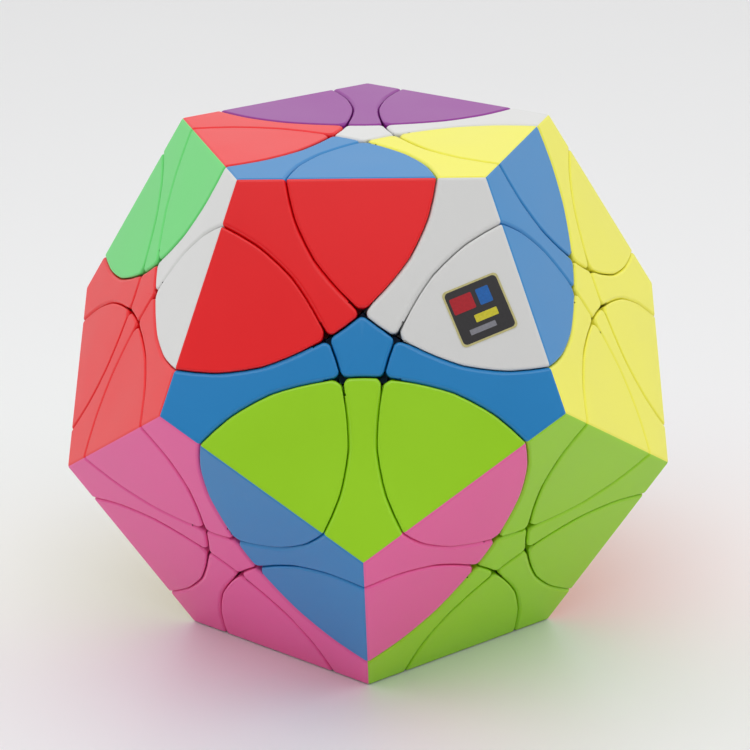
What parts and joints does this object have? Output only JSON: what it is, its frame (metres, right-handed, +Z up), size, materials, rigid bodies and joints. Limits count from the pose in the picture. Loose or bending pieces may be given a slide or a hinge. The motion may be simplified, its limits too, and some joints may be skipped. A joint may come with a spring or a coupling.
{
  "type": "dodecahedron twisty puzzle",
  "caption": "Stickerless corner-turning dodecahedron puzzle: three-coloured corners, petal-shaped edges and small fixed face caps around a ball core, shown partly mixed.",
  "frame": {"origin": "middle of the bottom pentagon, on the surface the puzzle rests on", "axes": "+Z up through the top pentagon; -Y out of the front, where one pentagon leans back below a horizontal top edge; +X to the right"},
  "size_m": [0.0942, 0.099, 0.0802],
  "materials": {
    "white_plastic": "satin",
    "blue_plastic": "satin",
    "yellow_plastic": "satin",
    "purple_plastic": "satin",
    "green_plastic": "satin",
    "red_plastic": "satin",
    "lime_plastic": "satin",
    "orange_plastic": "satin",
    "sky_plastic": "satin",
    "cream_plastic": "satin",
    "pink_plastic": "satin",
    "grey_plastic": "satin",
    "core_plastic": "satin",
    "screw_steel": "satin",
    "spring_steel": "polished",
    "label_film": "satin"
  },
  "bodies": {
    "root": {"core_with_face_caps": "core_plastic", "screw_U_F_R": "screw_steel", "screw_U_BL_L": "screw_steel", "screw_F_DR_DL": "screw_steel", "screw_R_BR_DBR": "screw_steel", "screw_BR_BL_B": "screw_steel", "screw_L_DBL_DL": "screw_steel", "screw_DR_DBR_D": "screw_steel", "screw_B_DBL_D": "screw_steel", "corner_U_F_L": "blue_plastic", "corner_U_R_BR": "white_plastic", "corner_U_BR_BL": "purple_plastic", "corner_F_R_DR": "blue_plastic", "corner_F_L_DL": "blue_plastic", "corner_R_DR_DBR": "yellow_plastic", "corner_BR_DBR_B": "purple_plastic", "corner_BL_L_DBL": "green_plastic", "corner_BL_B_DBL": "green_plastic", "corner_DR_DL_D": "lime_plastic", "corner_DBR_B_D": "orange_plastic", "corner_DBL_DL_D": "cream_plastic", "edge_F_L": "red_plastic", "edge_U_BR": "purple_plastic", "edge_R_DR": "yellow_plastic", "edge_DBR_B": "orange_plastic", "edge_BL_DBL": "green_plastic", "edge_DL_D": "pink_plastic"},
    "layer_U_F_R": {"corner_U_F_R": "yellow_plastic", "edge_U_F": "blue_plastic", "edge_U_R": "yellow_plastic", "edge_F_R": "white_plastic"},
    "layer_U_BL_L": {"corner_U_BL_L": "red_plastic", "edge_U_L": "red_plastic", "edge_U_BL": "purple_plastic", "edge_BL_L": "white_plastic"},
    "layer_F_DR_DL": {"corner_F_DR_DL": "lime_plastic", "edge_F_DR": "lime_plastic", "edge_F_DL": "lime_plastic", "edge_DR_DL": "pink_plastic"},
    "layer_R_BR_DBR": {"corner_R_BR_DBR": "yellow_plastic", "edge_R_BR": "yellow_plastic", "edge_R_DBR": "yellow_plastic", "edge_BR_DBR": "purple_plastic"},
    "layer_BR_BL_B": {"corner_BR_BL_B": "purple_plastic", "edge_BR_BL": "white_plastic", "edge_BR_B": "purple_plastic", "edge_BL_B": "green_plastic"},
    "layer_L_DBL_DL": {"corner_L_DBL_DL": "red_plastic", "edge_L_DL": "red_plastic", "edge_L_DBL": "red_plastic", "edge_DBL_DL": "cream_plastic"},
    "layer_DR_DBR_D": {"corner_DR_DBR_D": "lime_plastic", "edge_DR_DBR": "lime_plastic", "edge_DR_D": "lime_plastic", "edge_DBR_D": "orange_plastic"},
    "layer_B_DBL_D": {"corner_B_DBL_D": "sky_plastic", "edge_B_DBL": "sky_plastic", "edge_B_D": "sky_plastic", "edge_DBL_D": "cream_plastic"}
  },
  "joints": [
    {"name": "turn_U_F_R", "type": "hinge", "parent": "root", "child": "layer_U_F_R", "pos_m": [0, 0, 0.04009], "axis": [0.3568, -0.4911, 0.7947], "continuous": true},
    {"name": "turn_U_BL_L", "type": "hinge", "parent": "root", "child": "layer_U_BL_L", "pos_m": [0, 0, 0.04009], "axis": [-0.5774, 0.1876, 0.7947], "continuous": true},
    {"name": "turn_F_DR_DL", "type": "hinge", "parent": "root", "child": "layer_F_DR_DL", "pos_m": [0, 0, 0.04009], "axis": [0, -0.9822, -0.1876], "continuous": true},
    {"name": "turn_R_BR_DBR", "type": "hinge", "parent": "root", "child": "layer_R_BR_DBR", "pos_m": [0, 0, 0.04009], "axis": [0.9342, 0.3035, 0.1876], "continuous": true},
    {"name": "turn_BR_BL_B", "type": "hinge", "parent": "root", "child": "layer_BR_BL_B", "pos_m": [0, 0, 0.04009], "axis": [0, 0.9822, 0.1876], "continuous": true},
    {"name": "turn_L_DBL_DL", "type": "hinge", "parent": "root", "child": "layer_L_DBL_DL", "pos_m": [0, 0, 0.04009], "axis": [-0.9342, -0.3035, -0.1876], "continuous": true},
    {"name": "turn_DR_DBR_D", "type": "hinge", "parent": "root", "child": "layer_DR_DBR_D", "pos_m": [0, 0, 0.04009], "axis": [0.5774, -0.1876, -0.7947], "continuous": true},
    {"name": "turn_B_DBL_D", "type": "hinge", "parent": "root", "child": "layer_B_DBL_D", "pos_m": [0, 0, 0.04009], "axis": [-0.3568, 0.4911, -0.7947], "continuous": true}
  ]
}
